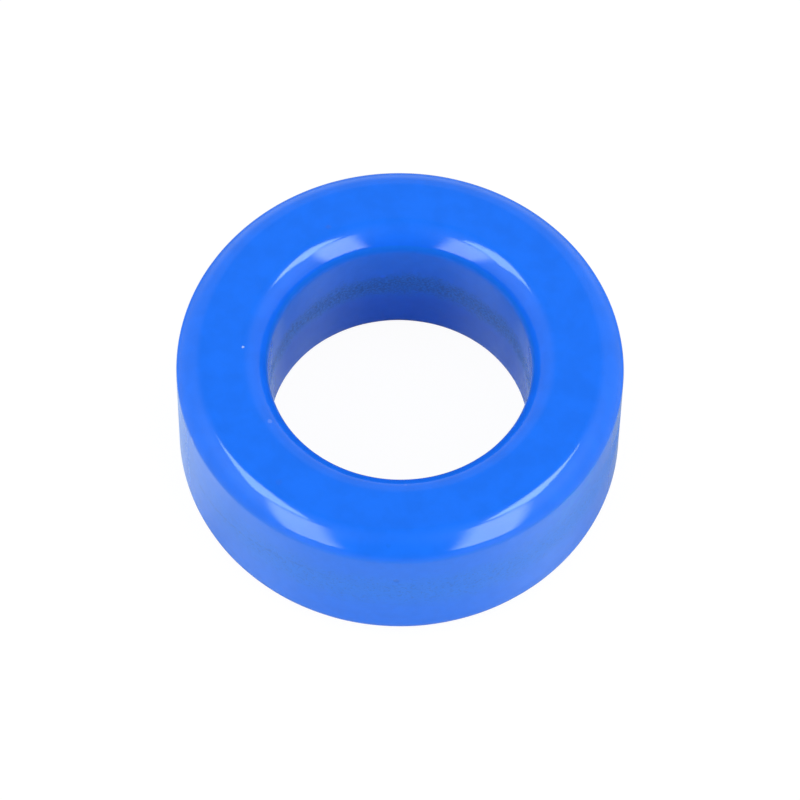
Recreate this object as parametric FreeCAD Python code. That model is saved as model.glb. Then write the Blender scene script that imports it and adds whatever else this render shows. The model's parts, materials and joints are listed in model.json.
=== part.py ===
"""Ferrite toroid core: one pressed and sintered ring with a blue epoxy coat bonded all over it.

The ring is turned from its true section. The section is a rectangle with its four corners rounded:
flat faces above and below, straight walls outside and in the bore, and a large tangent arc at each
edge, where the coat runs over the rounded edge of the pressed ring. The coat can't come off the
ring, so both are one solid, and every size here is measured over the coat.

The origin is the centre of the underside. +Z is the bore's axis.
"""
import FreeCAD
import Part

import math
import os

# Driving sizes, in millimetres, over the coat
OUTER_DIAMETER = 40.3
RING_WIDTH = 8.3
HEIGHT = 16.3
RIM_EDGE_RADIUS = 2.4
BORE_EDGE_RADIUS = 2.4

# The bore is what the ring's width leaves open: 23.7 mm across
BORE_DIAMETER = OUTER_DIAMETER - 2 * RING_WIDTH

# Each face and wall keeps at least this share of its length straight between its two edge arcs
STRAIGHT_SHARE = 0.1

AXIS_POINT = FreeCAD.Vector(0, 0, 0)
AXIS_DIRECTION = FreeCAD.Vector(0, 0, 1)
FULL_TURN = 360


def section_point(radius, height):
    """A point of the section, at this distance from the axis and this height above the underside."""
    return FreeCAD.Vector(radius, 0, height)


def edge_radius_within(wanted):
    """The wanted edge radius, or the largest that leaves part of each face and wall straight."""
    room = (1 - STRAIGHT_SHARE) * min(RING_WIDTH, HEIGHT) / 2
    return min(wanted, room)


def corner_arc(centre_radius, centre_height, arc_radius, start_angle):
    """A quarter turn of the section, anticlockwise from start_angle, as a true arc."""
    points = []
    for step in range(3):
        angle = math.radians(start_angle + 45 * step)
        points.append(
            section_point(
                centre_radius + arc_radius * math.cos(angle),
                centre_height + arc_radius * math.sin(angle),
            )
        )
    return Part.Arc(*points).toShape()


def ring_section(outer_radius, bore_radius, height, rim_arc, bore_arc):
    """The closed section of the ring: four straight lines joined by four tangent arcs."""
    rim_centre = outer_radius - rim_arc
    bore_centre = bore_radius + bore_arc
    underside = Part.LineSegment(
        section_point(bore_centre, 0), section_point(rim_centre, 0)
    ).toShape()
    rim_wall = Part.LineSegment(
        section_point(outer_radius, rim_arc), section_point(outer_radius, height - rim_arc)
    ).toShape()
    upper_face = Part.LineSegment(
        section_point(rim_centre, height), section_point(bore_centre, height)
    ).toShape()
    bore_wall = Part.LineSegment(
        section_point(bore_radius, height - bore_arc), section_point(bore_radius, bore_arc)
    ).toShape()
    outline = [
        underside,
        corner_arc(rim_centre, rim_arc, rim_arc, -90),
        rim_wall,
        corner_arc(rim_centre, height - rim_arc, rim_arc, 0),
        upper_face,
        corner_arc(bore_centre, height - bore_arc, bore_arc, 90),
        bore_wall,
        corner_arc(bore_centre, bore_arc, bore_arc, 180),
    ]
    return Part.Face(Part.Wire(outline))


def toroid_core():
    """The coated ring, turned once about the bore's axis."""
    section = ring_section(
        OUTER_DIAMETER / 2,
        BORE_DIAMETER / 2,
        HEIGHT,
        edge_radius_within(RIM_EDGE_RADIUS),
        edge_radius_within(BORE_EDGE_RADIUS),
    )
    return section.revolve(AXIS_POINT, AXIS_DIRECTION, FULL_TURN)


os.makedirs("parts", exist_ok=True)
core = toroid_core()
core.exportStep("parts/toroid_core.step")
print("toroid_core: valid", core.isValid(), "solids", len(core.Solids), "volume mm3", round(core.Volume, 1))
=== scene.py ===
"""Looks of a blue coated ferrite ring core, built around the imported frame.

The ring is one closed surface of revolution. Its sizes come from the frame, its coat is one
procedural material, and the studio around it is four soft boxes, a pale floor and a dim room.
Lengths are in metres and angles in degrees, unless a docstring says otherwise.
"""

import json
import logging
import math
from dataclasses import dataclass
from enum import Enum

import bpy
import numpy as np
from mathutils import Matrix
from mathutils import Vector


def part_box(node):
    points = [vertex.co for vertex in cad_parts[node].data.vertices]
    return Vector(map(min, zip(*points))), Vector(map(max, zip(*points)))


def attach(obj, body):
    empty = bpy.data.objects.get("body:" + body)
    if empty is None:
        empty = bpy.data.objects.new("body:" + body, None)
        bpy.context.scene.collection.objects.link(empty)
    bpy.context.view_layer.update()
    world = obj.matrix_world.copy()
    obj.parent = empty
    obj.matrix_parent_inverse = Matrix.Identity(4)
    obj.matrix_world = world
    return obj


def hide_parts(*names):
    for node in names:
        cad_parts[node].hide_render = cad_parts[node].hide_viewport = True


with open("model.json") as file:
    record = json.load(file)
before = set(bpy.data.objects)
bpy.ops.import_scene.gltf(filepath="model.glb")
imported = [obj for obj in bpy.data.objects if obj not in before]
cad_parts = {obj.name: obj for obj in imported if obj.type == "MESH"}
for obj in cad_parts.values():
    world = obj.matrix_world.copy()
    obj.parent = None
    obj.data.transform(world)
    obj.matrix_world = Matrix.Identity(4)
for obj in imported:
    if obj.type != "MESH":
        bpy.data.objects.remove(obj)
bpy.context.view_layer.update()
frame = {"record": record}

LOG = logging.getLogger("ferrite_ring")
CORE_NODE = "toroid_core"
MILLIMETRE = 0.001
WHITE = (1.0, 1.0, 1.0, 1.0)

Place = tuple[float, float, float]
Tint = tuple[float, float, float]
Colour = tuple[float, float, float, float]
Span = tuple[float, float]
Socket = bpy.types.NodeSocket


class Zone(Enum):
    """The stretches of the ring's section, in the order in which the profile meets them."""

    LOWER_FACE = 0
    LOWER_RIM = 1
    OUTER_WALL = 2
    UPPER_RIM = 3
    UPPER_FACE = 4
    UPPER_LIP = 5
    BORE_WALL = 6
    LOWER_LIP = 7


class LampUse(Enum):
    """What a lamp of a soft box is for."""

    GLOSS = "_gloss"
    LIGHT = "_light"


class NodeDesk:
    """Lays out shader nodes in one node tree and wires them.

    Each value that a method takes is a number, a tuple or the output socket of another node.
    """

    def __init__(self, tree: bpy.types.NodeTree) -> None:
        """Starts with an empty tree.

        Args:
            tree: the node tree of a material, a world or a lamp.
        """
        self.tree = tree
        self.tree.nodes.clear()

    def feed(self, node: bpy.types.Node, name: str | int, value) -> None:
        """Sets one input of a node, or links it where the value is a socket."""
        if isinstance(value, Socket):
            self.tree.links.new(value, node.inputs[name])
        else:
            node.inputs[name].default_value = value

    def put(self, kind: str, settings: dict | None = None, sockets: dict | None = None) -> bpy.types.Node:
        """Adds one node.

        Args:
            kind: the node's type name.
            settings: attributes to set on the node.
            sockets: input name or number to a value or to an output socket.

        Returns:
            The new node.
        """
        node = self.tree.nodes.new(kind)
        for name, value in (settings or {}).items():
            setattr(node, name, value)
        for name, value in (sockets or {}).items():
            self.feed(node, name, value)
        return node

    def math(self, operation: str, first, second=0.0, clamp: bool = False) -> Socket:
        """Adds a Math node of that operation and returns its output."""
        settings = {"operation": operation, "use_clamp": clamp}
        return self.put("ShaderNodeMath", settings, {0: first, 1: second}).outputs[0]

    def plus(self, first, second, clamp: bool = False) -> Socket:
        """Adds two values up."""
        return self.math("ADD", first, second, clamp)

    def minus(self, first, second) -> Socket:
        """Takes the second value from the first."""
        return self.math("SUBTRACT", first, second)

    def times(self, first, second) -> Socket:
        """Multiplies two values."""
        return self.math("MULTIPLY", first, second)

    def rest_of(self, share) -> Socket:
        """Takes a share from one."""
        return self.minus(1.0, share)

    def away(self, value, centre=0.0) -> Socket:
        """Works out how far a value lies from a centre, to either side."""
        return self.math("ABSOLUTE", self.minus(value, centre))

    def between(self, value, start, end, low=0.0, high=1.0) -> Socket:
        """Adds a smooth step that goes from low at start to high at end."""
        settings = {"interpolation_type": "SMOOTHSTEP"}
        sockets = {"Value": value, "From Min": start, "From Max": end, "To Min": low, "To Max": high}
        return self.put("ShaderNodeMapRange", settings, sockets).outputs["Result"]

    def vector(self, operation: str, first, second=(0.0, 0.0, 0.0)) -> bpy.types.Node:
        """Adds a Vector Math node of that operation."""
        return self.put("ShaderNodeVectorMath", {"operation": operation}, {0: first, 1: second})

    def scaled(self, vector, factor) -> Socket:
        """Multiplies a vector by a number."""
        sockets = {0: vector, "Scale": factor}
        return self.put("ShaderNodeVectorMath", {"operation": "SCALE"}, sockets).outputs[0]

    def level(self, vector) -> Socket:
        """Drops the Z part of a vector."""
        return self.vector("MULTIPLY", vector, (1.0, 1.0, 0.0)).outputs[0]

    def length(self, vector) -> Socket:
        """Works out the length of a vector."""
        return self.vector("LENGTH", vector).outputs["Value"]

    def distance(self, first, second) -> Socket:
        """Works out the distance between two places."""
        return self.vector("DISTANCE", first, second).outputs["Value"]

    def axes(self, vector) -> bpy.types.bpy_prop_collection:
        """Splits a vector into its outputs X, Y and Z."""
        return self.put("ShaderNodeSeparateXYZ", None, {0: vector}).outputs

    def grey(self, value) -> Socket:
        """Makes a colour of three equal values."""
        return self.put("ShaderNodeCombineXYZ", None, {0: value, 1: value, 2: value}).outputs[0]

    def blend(self, share, first, second, mode: str = "MIX") -> Socket:
        """Adds a colour mix and returns its colour."""
        settings = {"data_type": "RGBA", "blend_type": mode, "clamp_factor": True}
        return self.put("ShaderNodeMix", settings, {0: share, 6: first, 7: second}).outputs[2]


@dataclass
class RingSection:
    """The rounded section of the ring, with its bottom on the floor."""

    outer_radius: float
    bore_radius: float
    height: float
    edge_radius: float
    edge_power: float = 1.8
    face_steps: int = 14
    edge_steps: int = 30
    wall_steps: int = 20

    @classmethod
    def from_frame(cls, node: str) -> "RingSection":
        """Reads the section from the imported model.

        Args:
            node: the CAD node of the ring.

        Returns:
            The section with the sizes of that node and of the bore in the record.
        """
        low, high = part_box(node)
        bore = next(mount for mount in frame["record"]["mounts"] if mount["name"] == "bore")
        bore_radius = bore["dims"]["r_mm"] * MILLIMETRE
        height = high.z - low.z
        edge_radius = (height - bore["dims"]["length_mm"] * MILLIMETRE) / 2
        return cls(high.x, bore_radius, height, edge_radius)

    def corner(self) -> tuple[np.ndarray, np.ndarray]:
        """Works out one rounding, whose normal turns evenly through a quarter turn.

        The reflections in the photo show a rounding that is a touch flatter than a quarter
        circle. It is the curve on which the two offsets from the centre, each raised to the
        edge power, add up to one. A power of two would give the quarter circle.

        Returns:
            The two offsets from the centre, as shares of the edge radius.
        """
        angle = np.arange(self.edge_steps) / self.edge_steps * math.pi / 2
        first = np.cos(angle) ** (1 / (self.edge_power - 1))
        second = np.sin(angle) ** (1 / (self.edge_power - 1))
        length = (first ** self.edge_power + second ** self.edge_power) ** (1 / self.edge_power)
        return first / length, second / length

    def profile(self) -> tuple[np.ndarray, np.ndarray]:
        """Works out one closed loop round the section.

        A flat stretch is a straight run between its two ends. A rounding is the corner curve,
        turned so that it begins where the stretch before it ends.

        Returns:
            Radius and height of each point of the loop, anticlockwise.
        """
        inner = self.bore_radius + self.edge_radius
        outer = self.outer_radius - self.edge_radius
        low = self.edge_radius
        high = self.height - self.edge_radius
        quarter = math.pi / 2
        arcs = {
            Zone.LOWER_RIM: (outer, low, -quarter),
            Zone.UPPER_RIM: (outer, high, 0.0),
            Zone.UPPER_LIP: (inner, high, quarter),
            Zone.LOWER_LIP: (inner, low, 2 * quarter),
        }
        straights = {
            Zone.LOWER_FACE: ((inner, 0.0), (outer, 0.0), self.face_steps),
            Zone.OUTER_WALL: ((self.outer_radius, low), (self.outer_radius, high), self.wall_steps),
            Zone.UPPER_FACE: ((outer, self.height), (inner, self.height), self.face_steps),
            Zone.BORE_WALL: ((self.bore_radius, high), (self.bore_radius, low), self.wall_steps),
        }
        first_share, second_share = self.corner()
        radii = []
        heights = []
        for zone in Zone:
            if zone in arcs:
                r, z, start = arcs[zone]
                out = first_share * math.cos(start) - second_share * math.sin(start)
                rise = first_share * math.sin(start) + second_share * math.cos(start)
                radii.append(r + self.edge_radius * out)
                heights.append(z + self.edge_radius * rise)
            else:
                first, last, steps = straights[zone]
                share = np.arange(steps) / steps
                radii.append(first[0] + (last[0] - first[0]) * share)
                heights.append(first[1] + (last[1] - first[1]) * share)
        return np.concatenate(radii), np.concatenate(heights)


@dataclass(frozen=True)
class Noise:
    """A noise pattern: its scale per metre, its finer layers and how strong those are."""

    scale: float
    detail: float = 2.0
    rough: float = 0.5

    def over(self, desk: NodeDesk, place: Socket, output: str = "Fac") -> Socket:
        """Adds the pattern at that place and returns its grey, or the output of that name."""
        sockets = {"Vector": place, "Scale": self.scale, "Detail": self.detail, "Roughness": self.rough}
        return desk.put("ShaderNodeTexNoise", None, sockets).outputs[output]


@dataclass(frozen=True)
class Mottle:
    """A slow change of shade, between a darkest and a palest factor."""

    noise: Noise
    darkest: float
    palest: float
    span: Span = (0.3, 0.7)

    def over(self, desk: NodeDesk, place: Socket) -> Socket:
        """Adds the factor at that place."""
        return desk.between(self.noise.over(desk, place), *self.span, self.darkest, self.palest)


@dataclass(frozen=True)
class Dots:
    """Dots of one colour, which lie where a noise passes a level."""

    colour: Colour
    span: Span
    share: float

    def over(self, desk: NodeDesk, tone: Socket, noise: Socket, mask: Socket) -> Socket:
        """Lays the dots over a tone within a mask and returns the new tone."""
        spot = desk.times(desk.between(noise, *self.span), mask)
        return desk.blend(desk.times(spot, self.share), tone, self.colour)


@dataclass(frozen=True)
class Seam:
    """A band of coarse grain round a wall, at a height above the ring's mid height."""

    height: float
    reach: float
    gone: float = 1.6
    full: float = 0.2

    def mask(self, desk: NodeDesk, ragged: Socket, wall: Socket) -> Socket:
        """Adds the band's mask, which fades between two shares of its reach.

        Args:
            desk: the material's nodes.
            ragged: the height above mid height, with the noise that frays the band's border.
            wall: the mask of the wall that the band runs round.

        Returns:
            The mask from 0 to 1.
        """
        off = desk.away(ragged, self.height)
        return desk.times(desk.between(off, self.reach * self.gone, self.reach * self.full), wall)


@dataclass(frozen=True)
class PartingLine:
    """The thin broken line on the left of the outer wall.

    It climbs from its start to its end, which are places along X. Its heights count from the
    ring's mid height.
    """

    start: float = -0.0194
    end: float = -0.0086
    low: float = -0.00035
    high: float = 0.00160
    width: float = 0.00026
    full: float = 0.3
    wobble: float = 0.0006
    tail: float = 0.004
    gaps: Noise = Noise(1500.0, 3.0, 0.6)
    gap_span: Span = (0.42, 0.56)
    share: float = 0.55

    def mask(self, desk: NodeDesk, place: Socket, height: Socket, quick: Socket, wall: Socket) -> Socket:
        """Adds the line's mask.

        Args:
            desk: the material's nodes.
            place: the place on the ring.
            height: the height above mid height.
            quick: a quick noise about zero, which makes the line wobble.
            wall: the mask of the outer wall.

        Returns:
            The mask from 0 to 1.
        """
        across = desk.axes(place)["X"]
        climb = desk.between(across, self.start, self.end, self.low, self.high)
        off = desk.away(desk.plus(height, desk.times(quick, self.wobble)), climb)
        line = desk.between(off, self.width, self.width * self.full)
        broken = desk.between(self.gaps.over(desk, place), *self.gap_span)
        ending = desk.between(across, self.end + self.tail, self.end)
        return desk.times(desk.times(line, broken), desk.times(ending, wall))


@dataclass(frozen=True)
class PalePatch:
    """The paler patch on the right of the outer wall, broken up by a noise."""

    colour: Colour = (0.0110, 0.185, 0.80, 1.0)
    place: Place = (0.0163, -0.0118, 0.0132)
    reach: float = 0.0060
    full: float = 0.001
    noise: Noise = Noise(700.0, 4.0, 0.7)
    span: Span = (0.4, 0.6)

    def over(self, desk: NodeDesk, tone: Socket, place: Socket, wall: Socket) -> Socket:
        """Lays the patch over a tone on the outer wall and returns the new tone."""
        near = desk.between(desk.distance(place, self.place), self.reach, self.full)
        broken = desk.between(self.noise.over(desk, place), *self.span)
        return desk.blend(desk.times(desk.times(near, wall), broken), tone, self.colour)


@dataclass(frozen=True)
class Blemish:
    """A small mark in the coat, full up to a share of its reach."""

    place: Place
    reach: float
    colour: Colour
    share: float = 1.0
    lift: float = 0.0
    full: float = 0.45

    def spot(self, desk: NodeDesk, loose: Socket) -> Socket:
        """Adds the mark's mask at a place that wanders a little."""
        return desk.between(desk.distance(loose, self.place), self.reach, self.reach * self.full)


@dataclass(frozen=True)
class GrazingGloss:
    """How the gloss of faces and roundings sinks where the coat is seen at a grazing angle.

    The gloss of real epoxy rises there. Here it is held down, so that the flat face doesn't
    turn white under the soft boxes when it is seen from behind and low. The span is one of the
    facing value, zero head on and one edge on, and it hardly touches the photo's view.
    """

    level: float = 0.5
    least: float = 0.02
    span: Span = (0.54, 0.70)

    def over(self, desk: NodeDesk, side: Socket) -> Socket:
        """Adds the level of the gloss, which stays whole on the walls."""
        facing = desk.put("ShaderNodeLayerWeight").outputs["Facing"]
        drop = desk.between(facing, *self.span, 0.0, self.level - self.least)
        return desk.minus(self.level, desk.times(drop, desk.rest_of(side)))


@dataclass(frozen=True)
class BlueCoat:
    """The glossy blue epoxy coat of the ring, with a granular seam round both walls."""

    blemishes: tuple[Blemish, ...]
    name: str = "blue_epoxy_coat"
    face_blue: Colour = (0.0095, 0.158, 0.875, 1.0)
    wall_blue: Colour = (0.0115, 0.164, 0.83, 1.0)
    wall_seam_blue: Colour = (0.0115, 0.173, 0.79, 1.0)
    bore_blue: Colour = (0.0105, 0.170, 0.80, 1.0)
    bore_seam_blue: Colour = (0.0085, 0.150, 0.60, 1.0)
    # Painted shade: the bore's foot is painted darker than the rest of the bore.
    bore_foot_shade_blue: Colour = (0.0105, 0.139, 0.71, 1.0)
    pore_blue: Colour = (0.0110, 0.130, 0.58, 1.0)
    index_of_refraction: float = 1.5
    gloss_roughness: float = 0.1
    seam_roughness: float = 0.26
    gloss: GrazingGloss = GrazingGloss()
    wall_seam: Seam = Seam(0.0006, 0.0023)
    bore_seam: Seam = Seam(0.0004, 0.0014)
    seam_left: Span = (-0.018, -0.010)
    seam_left_share: float = 0.3
    parting: PartingLine = PartingLine()
    patch: PalePatch = PalePatch()
    # The painted shade at the bore's foot deepens from mid height down over this reach.
    foot_shade_reach: float = 0.0025
    wall_over: float = 0.00035
    bore_over: float = 0.00085
    wall_fade: float = 0.00020
    middle_fade: float = 0.0005
    slow: Noise = Noise(260.0, 3.0)
    slow_reach: float = 0.0022
    quick: Noise = Noise(2600.0, 3.0, 0.6)
    quick_reach: float = 0.0020
    noise_mean: float = 0.5
    grain_size: float = 0.00045
    grain_middle: float = 0.36
    grain_span: Span = (0.22, 0.04)
    fine_per_grain: float = 2.2
    fine_detail: float = 3.0
    fine_rough: float = 0.6
    ring_span: Span = (0.45, 0.65)
    ring_share: float = 0.28
    pores: Noise = Noise(3300.0, 2.0, 0.6)
    pore_span: Span = (0.45, 0.36)
    pore_share: float = 0.60
    dots: Noise = Noise(4300.0, 2.0, 0.6)
    dark_dots: Dots = Dots((0.0050, 0.108, 0.42, 1.0), (0.50, 0.40), 0.80)
    # Painted glints: paler dots on the tops of the bore's pebbles.
    painted_glint_dots: Dots = Dots((0.0160, 0.215, 0.78, 1.0), (0.53, 0.64), 0.60)
    face_mottle: Mottle = Mottle(Noise(420.0, 3.0, 0.55), 0.95, 1.03)
    side_mottle: Mottle = Mottle(Noise(900.0, 4.0, 0.6), 0.965, 1.02)
    peel: Noise = Noise(1500.0, 2.0, 0.5)
    peel_height: float = 0.15
    fine_mean: float = 0.40
    grain_sink: float = 0.4
    pore_height: float = 0.8
    dot_height: float = 2.4
    bump_unit: float = 0.00001
    loose: Noise = Noise(4000.0)
    loose_reach: float = 0.0002

    def masks(self, desk: NodeDesk, place: Socket, section: RingSection) -> dict[str, Socket]:
        """Tells the stretches of the ring apart from the place on it.

        A wall is where the height from the middle is less than where the roundings begin. The
        outer wall lies outside the middle radius of the ring, the bore inside it. A seam is a
        band of heights whose border wanders with a slow noise and is frayed by a quick one. The
        outer wall's seam is fainter at its left.

        Args:
            desk: the material's nodes.
            place: the place on the ring, in its own coordinates.
            section: the ring's section.

        Returns:
            Masks from 0 to 1, by name, and the wandering height above mid height.
        """
        radius = desk.length(desk.level(place))
        height = desk.minus(desk.axes(place)["Z"], section.height / 2)
        straight = section.height / 2 - section.edge_radius
        middle = (section.outer_radius + section.bore_radius) / 2
        outside = desk.between(radius, middle - self.middle_fade, middle + self.middle_fade)
        off = desk.away(height)
        wall_end = straight + self.wall_over
        bore_end = straight + self.bore_over
        wall = desk.times(desk.between(off, wall_end + self.wall_fade, wall_end), outside)
        bore = desk.times(desk.between(off, bore_end + self.wall_fade, bore_end), desk.rest_of(outside))
        slow = desk.minus(self.slow.over(desk, place), self.noise_mean)
        quick = desk.minus(self.quick.over(desk, place), self.noise_mean)
        wandering = desk.plus(height, desk.times(slow, self.slow_reach))
        ragged = desk.plus(wandering, desk.times(quick, self.quick_reach))
        left = desk.between(desk.axes(place)["X"], *self.seam_left, self.seam_left_share, 1.0)
        return {
            "wall": wall,
            "bore": bore,
            "side": desk.plus(wall, bore),
            "wandering": wandering,
            "wall_seam": desk.times(self.wall_seam.mask(desk, ragged, wall), left),
            "bore_seam": self.bore_seam.mask(desk, ragged, bore),
            "parting": self.parting.mask(desk, place, height, quick, wall),
        }

    def grains(self, desk: NodeDesk, place: Socket) -> dict[str, Socket]:
        """Adds the patterns that the seams' colours and their relief share.

        Args:
            desk: the material's nodes.
            place: the place on the ring, in its own coordinates.

        Returns:
            Small rings round the middles of cells, a fine noise, and the noise of the dots.
        """
        sockets = {"Vector": place, "Scale": 1.0 / self.grain_size}
        cells = desk.put("ShaderNodeTexVoronoi", None, sockets).outputs["Distance"]
        fine = Noise(self.fine_per_grain / self.grain_size, self.fine_detail, self.fine_rough)
        return {
            "rings": desk.between(desk.away(cells, self.grain_middle), *self.grain_span),
            "fine": fine.over(desk, place),
            "dots": self.dots.over(desk, place),
        }

    def tone(self, desk: NodeDesk, place: Socket, masks: dict, grains: dict) -> Socket:
        """Works out the coat's colour, but for the blemishes.

        Args:
            desk: the material's nodes.
            place: the place on the ring, in its own coordinates.
            masks: the masks by name.
            grains: the seams' patterns by name.

        Returns:
            The colour.
        """
        # Painted shade: the bore's colour darkens from mid height towards its foot.
        foot = desk.between(masks["wandering"], 0.0, -self.foot_shade_reach)
        tone = desk.blend(masks["wall"], self.face_blue, self.wall_blue)
        tone = desk.blend(masks["bore"], tone, desk.blend(foot, self.bore_blue, self.bore_foot_shade_blue))
        tone = desk.blend(masks["wall_seam"], tone, self.wall_seam_blue)
        tone = desk.blend(masks["bore_seam"], tone, self.bore_seam_blue)
        tone = self.patch.over(desk, tone, place, masks["wall"])
        pores = desk.between(self.pores.over(desk, place), *self.pore_span)
        pores = desk.times(desk.times(pores, masks["wall_seam"]), self.pore_share)
        rings = desk.times(grains["rings"], desk.between(grains["fine"], *self.ring_span))
        rings = desk.times(desk.times(rings, masks["wall_seam"]), self.ring_share)
        tone = desk.blend(desk.plus(pores, rings, True), tone, self.pore_blue)
        tone = desk.blend(desk.times(masks["parting"], self.parting.share), tone, self.pore_blue)
        tone = self.dark_dots.over(desk, tone, grains["dots"], masks["bore_seam"])
        # Painted glints on the raised pebbles of the bore's seam.
        tone = self.painted_glint_dots.over(desk, tone, grains["dots"], masks["bore_seam"])
        on_side = desk.times(self.side_mottle.over(desk, place), masks["side"])
        on_face = desk.times(self.face_mottle.over(desk, place), desk.rest_of(masks["side"]))
        return desk.blend(1.0, tone, desk.grey(desk.plus(on_side, on_face)), "MULTIPLY")

    def relief(self, desk: NodeDesk, place: Socket, masks: dict, grains: dict) -> Socket:
        """Works out the coat's fine relief in bump units, but for the blemishes.

        The whole coat has a faint peel. The outer wall's seam is pitted and the bore's is
        pebbled, both about a mean of zero, so that no border of a seam shows.

        Args:
            desk: the material's nodes.
            place: the place on the ring, in its own coordinates.
            masks: the masks by name.
            grains: the seams' patterns by name.

        Returns:
            The height.
        """
        fine = desk.minus(grains["fine"], self.fine_mean)
        pits = desk.minus(fine, desk.times(grains["rings"], self.grain_sink))
        pits = desk.times(desk.times(pits, masks["wall_seam"]), self.pore_height)
        pebbles = desk.times(desk.minus(grains["dots"], self.noise_mean), masks["bore_seam"])
        grain = desk.plus(pits, desk.times(pebbles, self.dot_height))
        return desk.plus(desk.times(self.peel.over(desk, place), self.peel_height), grain)

    def wander(self, desk: NodeDesk, place: Socket) -> Socket:
        """Moves a place about a little, so that the blemishes aren't round."""
        shift = desk.vector("SUBTRACT", self.loose.over(desk, place, "Color"), (self.noise_mean,) * 3)
        return desk.vector("ADD", place, desk.scaled(shift.outputs[0], self.loose_reach)).outputs[0]

    def material(self, section: RingSection) -> bpy.types.Material:
        """Builds the node material.

        The faces and roundings are plain glossy blue with a slow mottle. The walls are a little
        duller in colour, and each has a seam of coarse grain at about mid height, which is also
        rougher. On the outer wall the grain is faint pores and small rings, in the bore it is
        dark dots and paler dots, the paler ones painted glints on the tops of the pebbles. The
        bore's colour darkens towards its foot, which is painted shade. The outer wall also has
        the parting line and the pale patch. The blemishes lie over all of it.

        Args:
            section: the ring's section.

        Returns:
            The coat's material.
        """
        material = bpy.data.materials.new(self.name)
        material.use_nodes = True
        desk = NodeDesk(material.node_tree)
        place = desk.put("ShaderNodeTexCoord").outputs["Object"]
        masks = self.masks(desk, place, section)
        grains = self.grains(desk, place)
        tone = self.tone(desk, place, masks, grains)
        relief = self.relief(desk, place, masks, grains)
        loose = self.wander(desk, place)
        for mark in self.blemishes:
            spot = mark.spot(desk, loose)
            tone = desk.blend(desk.times(spot, mark.share), tone, mark.colour)
            if mark.lift:
                relief = desk.plus(relief, desk.times(spot, mark.lift / self.bump_unit))
        bump = desk.put("ShaderNodeBump", None, {"Height": relief, "Distance": self.bump_unit})
        seam = desk.plus(masks["wall_seam"], masks["bore_seam"], True)
        rougher = desk.times(seam, self.seam_roughness - self.gloss_roughness)
        sockets = {
            "Base Color": tone,
            "Roughness": desk.plus(self.gloss_roughness, rougher),
            "IOR": self.index_of_refraction,
            "Specular IOR Level": self.gloss.over(desk, masks["side"]),
            "Normal": bump.outputs["Normal"],
        }
        shader = desk.put("ShaderNodeBsdfPrincipled", None, sockets)
        desk.put("ShaderNodeOutputMaterial", None, {"Surface": shader.outputs["BSDF"]})
        return material


@dataclass
class CoatedRing:
    """The whole core: a surface of revolution about Z with its coat."""

    section: RingSection
    coat: BlueCoat
    name: str = "coated_ring"
    turns: int = 520
    relief_depth: float = 0.000010
    relief_reach: float = 0.000004
    relief_waves: int = 36
    fewest_turns: int = 3
    turns_below: int = 24
    steepest: float = 900.0
    seed: int = 7

    def relief(self, azimuth: np.ndarray, height: np.ndarray, radius: np.ndarray) -> np.ndarray:
        """Works out how far the coat lies under the CAD surface.

        The depth is a mean depth plus a sum of waves. Each wave is the sine of a whole number
        times the azimuth, plus a wave number times the height and another times the radius.

        Args:
            azimuth: the azimuth of each row of vertices, in radians.
            height: the height of each point of the section.
            radius: the radius of each point of the section.

        Returns:
            Depth, one row per azimuth.
        """
        chance = np.random.default_rng(self.seed)
        total = np.zeros((len(azimuth), len(height)))
        for _ in range(self.relief_waves):
            turns = chance.integers(self.fewest_turns, self.turns_below)
            rise, reach = chance.uniform(-self.steepest, self.steepest, 2)
            phase = chance.uniform(0.0, 2 * math.pi)
            along = rise * height + reach * radius
            total += np.sin(turns * azimuth[:, None] + along[None, :] + phase)
        total = np.clip(total / math.sqrt(self.relief_waves), -1.0, 1.0)
        return self.relief_depth + self.relief_reach * total

    def surface(self) -> tuple[np.ndarray, np.ndarray]:
        """Carries the section round the axis and sinks it by the coat's relief.

        A point is (radius times cosine of the azimuth, radius times sine of it, height), moved
        inward along the section's normal, which is a quarter turn from the section's tangent.

        Returns:
            The vertex places, one row per azimuth, and the quads that join them.
        """
        radius, height = self.section.profile()
        azimuth = np.arange(self.turns) / self.turns * 2 * math.pi
        ahead = np.roll(radius, -1) - np.roll(radius, 1)
        climb = np.roll(height, -1) - np.roll(height, 1)
        length = np.hypot(ahead, climb)
        depth = self.relief(azimuth, height, radius)
        sunk_radius = radius[None, :] - depth * (climb / length)[None, :]
        sunk_height = height[None, :] + depth * (ahead / length)[None, :]
        points = len(radius)
        places = np.empty((self.turns, points, 3))
        places[..., 0] = np.cos(azimuth)[:, None] * sunk_radius
        places[..., 1] = np.sin(azimuth)[:, None] * sunk_radius
        places[..., 2] = sunk_height
        row = np.arange(self.turns)[:, None] * points
        next_row = (np.arange(self.turns)[:, None] + 1) % self.turns * points
        step = np.arange(points)[None, :]
        next_step = (step + 1) % points
        quads = np.stack([row + step, next_row + step, next_row + next_step, row + next_step], -1)
        return places.reshape(-1, 3), quads.reshape(-1, 4)

    def build(self) -> bpy.types.Object:
        """Makes the ring's object and dresses it.

        Returns:
            The new object, riding on the one body of the frame.
        """
        places, quads = self.surface()
        mesh = bpy.data.meshes.new(self.name)
        mesh.from_pydata(places, [], quads)
        mesh.polygons.foreach_set("use_smooth", np.ones(len(quads), bool))
        mesh.materials.append(self.coat.material(self.section))
        mesh.update()
        ring = bpy.data.objects.new(self.name, mesh)
        bpy.context.scene.collection.objects.link(ring)
        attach(ring, "root")
        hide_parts(CORE_NODE)
        LOG.info("%s: %d vertices, %d faces", self.name, len(places), len(quads))
        return ring


@dataclass(frozen=True)
class Glow:
    """The light of a soft box.

    Its reflection has the tint. At both long sides it fades out from one soft side inside the
    box's half width to one outside it. The dull share is the share of its radiance that the
    box has for everything but the gloss.
    """

    tint: Tint
    soft_side: float
    dull_share: float


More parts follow.
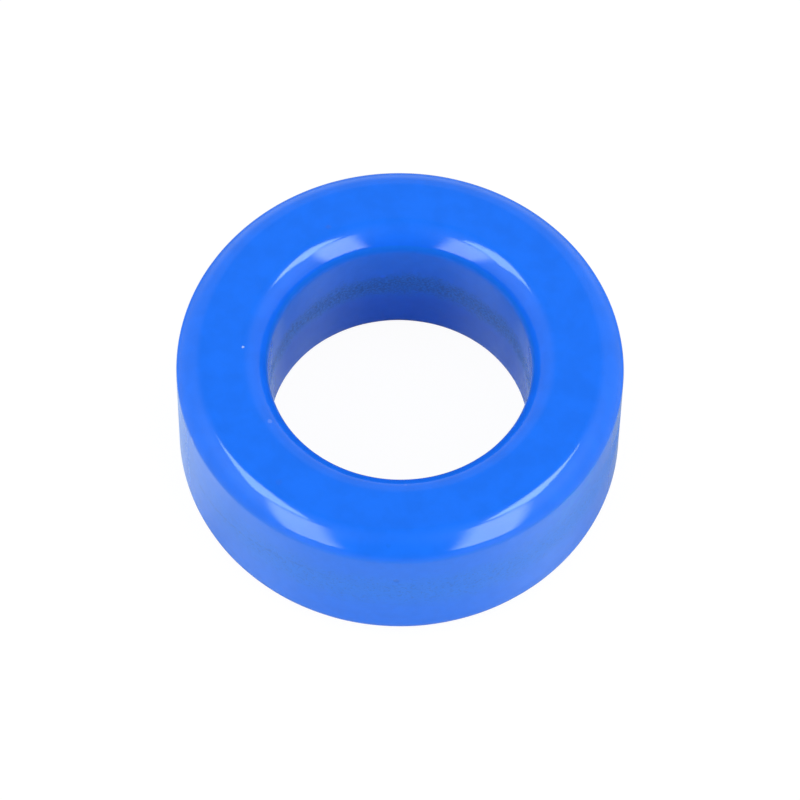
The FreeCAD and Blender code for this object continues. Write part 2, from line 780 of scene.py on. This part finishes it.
@dataclass(frozen=True)
class SoftBox:
    """A flat rectangular lamp, placed by the direction in which the ring sees its middle.

    Its half sizes and its soft side are shares of its distance. It is two lamps that cover the
    same directions from the ring: a nearer one for the gloss, and a white one, set back, that
    lights all the rest.
    """

    name: str
    azimuth: float
    elevation: float
    roll: float
    lean: float
    swing: float
    half_width: float
    half_height: float
    radiance: float
    glow: Glow
    distance: float = 1.2
    set_back: float = 1.12

    def pose(self, middle: Vector, distance: float) -> Matrix:
        """Works out where the lamp stands.

        Its axes are first right, up and away as seen from the ring. They are then turned by
        roll about away, by lean about right and by swing about up.

        Args:
            middle: the point that the directions start from.
            distance: how far the lamp stands from that point.

        Returns:
            The lamp's world matrix. It shines along its own minus Z.
        """
        azimuth = math.radians(self.azimuth)
        elevation = math.radians(self.elevation)
        level = math.cos(elevation)
        away = Vector((level * math.cos(azimuth), level * math.sin(azimuth), math.sin(elevation)))
        right = Vector((-math.sin(azimuth), math.cos(azimuth), 0.0))
        up = away.cross(right)
        axes = Matrix((right, up, away)).transposed().to_4x4()
        turned = axes @ Matrix.Rotation(math.radians(self.roll), 4, "Z")
        turned = turned @ Matrix.Rotation(math.radians(self.lean), 4, "X")
        turned = turned @ Matrix.Rotation(math.radians(self.swing), 4, "Y")
        return Matrix.Translation(middle + away * distance) @ turned

    def shine(self, lamp: bpy.types.Light) -> None:
        """Lets the lamp's light fade out towards its two long sides.

        Args:
            lamp: the lamp's data.
        """
        lamp.use_nodes = True
        desk = NodeDesk(lamp.node_tree)
        across = desk.axes(desk.put("ShaderNodeTexCoord").outputs["UV"])["X"]
        half = 0.5
        border = self.glow.soft_side / (self.half_width + self.glow.soft_side)
        level = desk.between(desk.away(across, half), half, half - border)
        light = desk.put("ShaderNodeEmission", None, {"Strength": level})
        desk.put("ShaderNodeOutputLight", None, {"Surface": light.outputs[0]})

    def stand(self, use: LampUse, middle: Vector) -> bpy.types.Object:
        """Makes one of the two lamps of the box.

        Args:
            use: which light the lamp gives.
            middle: the point that the lamp's direction starts from.

        Returns:
            The lamp's object.
        """
        gloss = use is LampUse.GLOSS
        distance = self.distance if gloss else self.distance * self.set_back
        radiance = self.radiance if gloss else self.radiance * self.glow.dull_share
        lamp = bpy.data.lights.new(self.name + use.value, "AREA")
        lamp.shape = "RECTANGLE"
        lamp.size = 2 * (self.half_width + self.glow.soft_side) * distance
        lamp.size_y = 2 * self.half_height * distance
        lamp.energy = math.pi * lamp.size * lamp.size_y * radiance
        if gloss:
            lamp.color = self.glow.tint
        if gloss and self.glow.soft_side:
            self.shine(lamp)
        stand = bpy.data.objects.new(lamp.name, lamp)
        stand.matrix_world = self.pose(middle, distance)
        stand.visible_camera = False
        stand.visible_diffuse = not gloss
        stand.visible_glossy = gloss
        bpy.context.scene.collection.objects.link(stand)
        LOG.info("%s: %.2f by %.2f m, radiance %.1f", lamp.name, lamp.size, lamp.size_y, radiance)
        return stand

    def build(self, middle: Vector) -> list[bpy.types.Object]:
        """Makes the box's two lamps.

        Args:
            middle: the point that the lamps' direction starts from.

        Returns:
            The lamp seen in the gloss, and the lamp that lights everything else.
        """
        return [self.stand(use, middle) for use in LampUse]


@dataclass
class PaleFloor:
    """A round white table top. The camera sees it white, with the ring's soft shadow on it.

    The greys, and what is more or less of them, are those of its reflection in the coat. In a
    span's name, reach is the distance from the ring's axis, and along and across are the parts
    along Y and X of the direction from it.
    """

    radius: float = 0.12
    sides: int = 180
    albedo: float = 0.75
    camera_white: float = 0.95
    camera_shade: float = 0.07
    near_grey: float = 0.54
    far_grey: float = 0.435
    near_reach: Span = (0.026, 0.034)
    left_more: float = 0.36
    left_across: Span = (-0.82, -0.97)
    left_reach: Span = (0.034, 0.026)
    back_more: float = 0.45
    back_along: Span = (0.65, 0.9)
    back_reach: Span = (0.020, 0.060)
    front_less: float = 0.76
    front_along: Span = (-0.90, -0.985)
    front_reach: Span = (0.030, 0.085)
    hole_grey: float = 0.48
    hole_more: float = 0.61
    hole_sides: Span = (0.002, 0.011)
    hole_reach: Span = (0.013, 0.018)
    least_reach: float = 0.001
    gloss_tint: Tint = (0.84, 1.0, 1.0)
    sheen: float = 0.045
    sheen_roughness: float = 0.25
    name: str = "pale_floor"

    def gloss_grey(self, desk: NodeDesk) -> Socket:
        """Works out how pale the floor is in the gloss.

        It is paler near the ring's foot than farther off, and paler still at the left of the
        foot and far behind the ring. It is dark far in front of the ring. Inside the hole it is
        dim in the middle and pale at both sides.

        Args:
            desk: the material's nodes.

        Returns:
            The floor's grey by place.
        """
        place = desk.put("ShaderNodeTexCoord").outputs["Object"]
        axes = desk.axes(place)
        reach = desk.length(place)
        divisor = desk.math("MAXIMUM", reach, self.least_reach)
        along = desk.math("DIVIDE", axes["Y"], divisor)
        across = desk.math("DIVIDE", axes["X"], divisor)
        grey = desk.between(reach, *self.near_reach, self.near_grey, self.far_grey)
        left = desk.times(desk.between(across, *self.left_across), desk.between(reach, *self.left_reach))
        grey = desk.plus(grey, desk.times(left, self.left_more))
        back = desk.times(desk.between(along, *self.back_along), desk.between(reach, *self.back_reach))
        grey = desk.plus(grey, desk.times(back, self.back_more))
        front = desk.times(desk.between(along, *self.front_along), desk.between(reach, *self.front_reach))
        grey = desk.times(grey, desk.rest_of(desk.times(front, self.front_less)))
        hole = desk.between(desk.away(axes["X"]), *self.hole_sides, 0.0, self.hole_more)
        hole = desk.plus(hole, self.hole_grey)
        outside = desk.between(reach, *self.hole_reach)
        return desk.plus(desk.times(grey, outside), desk.times(desk.rest_of(outside), hole))

    def material(self) -> bpy.types.Material:
        """Builds the floor's material, which differs for camera, gloss and other rays.

        In the gloss the floor has its own greys and a faint sheen, in which the lamps show.

        Returns:
            The floor's material.
        """
        material = bpy.data.materials.new(self.name)
        material.use_nodes = True
        desk = NodeDesk(material.node_tree)
        path = desk.put("ShaderNodeLightPath")
        glossy = path.outputs["Is Glossy Ray"]
        grey = desk.scaled(self.gloss_tint, self.gloss_grey(desk))
        colour = desk.blend(glossy, (self.albedo,) * 3 + (1.0,), grey)
        plain = desk.put("ShaderNodeBsdfDiffuse", None, {"Color": colour})
        sockets = {"Color": desk.grey(desk.times(glossy, self.sheen)), "Roughness": self.sheen_roughness}
        polish = desk.put("ShaderNodeBsdfAnisotropic", None, sockets)
        table = desk.put("ShaderNodeAddShader", None, {0: plain.outputs[0], 1: polish.outputs[0]})
        shade = desk.put("ShaderNodeBsdfDiffuse", None, {"Color": (self.camera_shade,) * 3 + (1.0,)})
        white = desk.put("ShaderNodeEmission", None, {"Strength": self.camera_white})
        seen = desk.put("ShaderNodeAddShader", None, {0: shade.outputs[0], 1: white.outputs[0]})
        sockets = {0: path.outputs["Is Camera Ray"], 1: table.outputs[0], 2: seen.outputs[0]}
        both = desk.put("ShaderNodeMixShader", None, sockets)
        desk.put("ShaderNodeOutputMaterial", None, {"Surface": both.outputs[0]})
        return material

    def build(self) -> bpy.types.Object:
        """Makes the floor's disc and puts it in the scene.

        Returns:
            The floor's object.
        """
        turn = np.arange(self.sides) / self.sides * 2 * math.pi
        rim = np.stack([np.cos(turn), np.sin(turn), np.zeros(self.sides)], -1) * self.radius
        mesh = bpy.data.meshes.new(self.name)
        mesh.from_pydata(rim, [], [list(range(self.sides))])
        mesh.materials.append(self.material())
        floor = bpy.data.objects.new(self.name, mesh)
        bpy.context.scene.collection.objects.link(floor)
        LOG.info("%s: radius %.2f m", self.name, self.radius)
        return floor


@dataclass
class DimRoom:
    """The world: white behind the ring for the camera, and a dim room for everything else.

    In a span's name, climb is the upward part of a direction, and turn is the part towards the
    back of its level direction.
    """

    fill: float = 0.73
    side_more: float = 1.00
    front_less: float = 0.65
    gloss_zenith: float = 0.050
    zenith_climb: Span = (0.95, 0.6)
    gloss_side: float = 0.48
    side_turn: Span = (-0.9, -0.6)
    gloss_back: float = 0.42
    back_climb: Span = (0.35, -0.05)
    back_turn: Span = (0.65, 0.9)
    gloss_tint: Colour = (0.84, 1.0, 1.0, 1.0)
    halo: float = 0.70
    halo_reach: float = 50.0
    halo_height: float = 42.0
    halo_turns: Span = (205.0, 335.0)
    name: str = "dim_room"

    def gloss_level(self, desk: NodeDesk) -> Socket:
        """Works out how bright the room is in the gloss.

        It is dark overhead and in front, paler at the sides, and palest low at the back. Round
        each of two directions it has a soft halo, which fades with the angle from there.

        Args:
            desk: the world's nodes.

        Returns:
            The room's level by direction.
        """
        direction = desk.put("ShaderNodeTexCoord").outputs["Generated"]
        level = desk.vector("NORMALIZE", desk.level(direction))
        turn = desk.axes(level.outputs[0])["Y"]
        climb = desk.axes(direction)["Z"]
        side = desk.times(desk.between(turn, *self.side_turn), self.gloss_side)
        lowest = desk.times(desk.between(climb, *self.back_climb), desk.between(turn, *self.back_turn))
        side = desk.plus(side, desk.times(lowest, self.gloss_back))
        total = desk.plus(desk.times(desk.between(climb, *self.zenith_climb), side), self.gloss_zenith)
        rise = math.radians(self.halo_height)
        for azimuth in self.halo_turns:
            way = math.radians(azimuth)
            centre = (math.cos(rise) * math.cos(way), math.cos(rise) * math.sin(way), math.sin(rise))
            near = desk.vector("DOT_PRODUCT", direction, centre).outputs["Value"]
            apart = desk.math("ARCCOSINE", near)
            halo = desk.between(apart, math.radians(self.halo_reach), 0.0, 0.0, self.halo)
            total = desk.plus(total, halo)
        return total

    def dull_level(self, desk: NodeDesk) -> Socket:
        """Works out how bright the room is for everything but the gloss.

        It is the fill, somewhat more towards the sides and less towards the front, so that a
        level face gets the plain fill.

        Args:
            desk: the world's nodes.

        Returns:
            The room's level by direction.
        """
        axes = desk.axes(desk.put("ShaderNodeTexCoord").outputs["Generated"])
        across = desk.times(axes["X"], axes["X"])
        ahead = desk.math("MAXIMUM", desk.times(axes["Y"], -1.0), 0.0)
        share = desk.plus(desk.times(across, self.side_more), 1.0)
        share = desk.minus(share, desk.times(ahead, self.front_less))
        return desk.times(share, self.fill)

    def build(self) -> bpy.types.World:
        """Makes the world's nodes.

        Returns:
            The world, which is the scene's world from then on.
        """
        world = bpy.data.worlds.new(self.name)
        world.use_nodes = True
        desk = NodeDesk(world.node_tree)
        path = desk.put("ShaderNodeLightPath")
        glossy = path.outputs["Is Glossy Ray"]
        camera = path.outputs["Is Camera Ray"]
        dull = self.dull_level(desk)
        step = desk.times(glossy, desk.minus(self.gloss_level(desk), dull))
        strength = desk.plus(desk.times(desk.plus(step, dull), desk.rest_of(camera)), camera)
        colour = desk.blend(glossy, WHITE, self.gloss_tint)
        background = desk.put("ShaderNodeBackground", None, {"Color": colour, "Strength": strength})
        desk.put("ShaderNodeOutputWorld", None, {"Surface": background.outputs[0]})
        bpy.context.scene.world = world
        LOG.info("%s: fill %.2f", self.name, self.fill)
        return world


@dataclass
class StudioCamera:
    """The camera at the photograph's viewing angle. Lens and sensor are in millimetres."""

    middle: Vector
    distance: float = 0.5029
    elevation: float = 60.45
    pitch: float = -0.0212
    yaw: float = -0.0047
    roll: float = 0.838
    lens: float = 249.0
    sensor: float = 36.0
    nearest: float = 0.01
    name: str = "studio_camera"

    def build(self) -> bpy.types.Object:
        """Makes the camera and gives it to the scene.

        Returns:
            The camera's object.
        """
        elevation = math.radians(self.elevation)
        back = Vector((0.0, -math.cos(elevation), math.sin(elevation)))
        tilt = math.radians(90.0 - self.elevation + self.pitch)
        data = bpy.data.cameras.new(self.name)
        data.lens = self.lens
        data.sensor_width = self.sensor
        data.clip_start = self.nearest
        camera = bpy.data.objects.new(self.name, data)
        turn = Matrix.Rotation(tilt, 4, "X") @ Matrix.Rotation(math.radians(self.yaw), 4, "Y")
        turn = turn @ Matrix.Rotation(math.radians(self.roll), 4, "Z")
        camera.matrix_world = Matrix.Translation(self.middle + back * self.distance) @ turn
        bpy.context.scene.collection.objects.link(camera)
        bpy.context.scene.camera = camera
        LOG.info("%s: %.1f mm lens", self.name, self.lens)
        return camera


SIDE_GLOW = Glow(tint=(0.85, 1.0, 1.0), soft_side=0.07, dull_share=0.295)
TOP_GLOW = Glow(tint=(0.74, 1.0, 1.0), soft_side=0.0, dull_share=0.235)
SOFT_BOXES = (
    SoftBox(
        "front_left_box", azimuth=227.8, elevation=28.3, roll=15.6, lean=15.2, swing=15.0,
        half_width=0.206, half_height=0.578, radiance=4.66, glow=SIDE_GLOW,
    ),
    SoftBox(
        "front_right_box", azimuth=313.8, elevation=34.5, roll=-14.7, lean=28.0, swing=-3.8,
        half_width=0.203, half_height=0.652, radiance=5.40, glow=SIDE_GLOW,
    ),
    SoftBox(
        "upper_left_box", azimuth=187.0, elevation=59.6, roll=-26.0, lean=10.4, swing=31.2,
        half_width=0.259, half_height=0.170, radiance=6.6, glow=TOP_GLOW,
    ),
    SoftBox(
        "upper_right_box", azimuth=353.0, elevation=61.8, roll=25.0, lean=29.8, swing=-23.7,
        half_width=0.198, half_height=0.176, radiance=7.7, glow=TOP_GLOW,
    ),
)
DUST = (0.62, 0.74, 0.86, 1.0)
SOOT = (0.004, 0.095, 0.500, 1.0)
RUST = (0.110, 0.090, 0.200, 1.0)
BRIGHT = (0.012, 0.180, 0.950, 1.0)
BLEMISHES = (
    Blemish((-0.01410, 0.00040, 0.01630), 0.00016, DUST, 0.60, 0.00001),
    Blemish((-0.01150, -0.00710, 0.01618), 0.00030, DUST, 0.12),
    Blemish((0.00063, -0.01324, 0.01608), 0.00026, DUST, 0.06, 0.00001),
    Blemish((-0.00174, 0.01175, 0.00997), 0.00035, BRIGHT, 0.60, 0.00001),
    Blemish((-0.00005, -0.02015, 0.01069), 0.00034, SOOT, 0.40, -0.00003),
    Blemish((-0.01936, -0.00559, 0.00780), 0.00030, SOOT, 0.30),
    Blemish((-0.01796, -0.00913, 0.00485), 0.00034, SOOT, 0.30),
    Blemish((-0.01136, -0.01664, 0.00960), 0.00030, SOOT, 0.30),
    Blemish((-0.00864, -0.01820, 0.00977), 0.00030, SOOT, 0.30),
    Blemish((-0.01849, -0.00800, 0.01391), 0.00050, DUST, 0.10, -0.00002),
    Blemish((-0.00670, 0.01311, 0.01630), 0.00030, RUST, 0.12, 0.00001),
    Blemish((-0.01055, -0.01335, 0.01630), 0.00038, RUST, 0.05),
    Blemish((-0.00080, -0.01929, 0.01573), 0.00030, SOOT, 0.15),
)


def main() -> None:
    """Builds the ring and the studio round it."""
    logging.basicConfig(level=logging.INFO, format="%(name)s: %(message)s")
    section = RingSection.from_frame(CORE_NODE)
    middle = Vector((0.0, 0.0, section.height / 2))
    StudioCamera(middle).build()
    CoatedRing(section, BlueCoat(BLEMISHES)).build()
    for box in SOFT_BOXES:
        box.build(middle)
    PaleFloor().build()
    DimRoom().build()
    bpy.context.scene.view_settings.view_transform = "Standard"


if __name__ == "__main__":
    main()
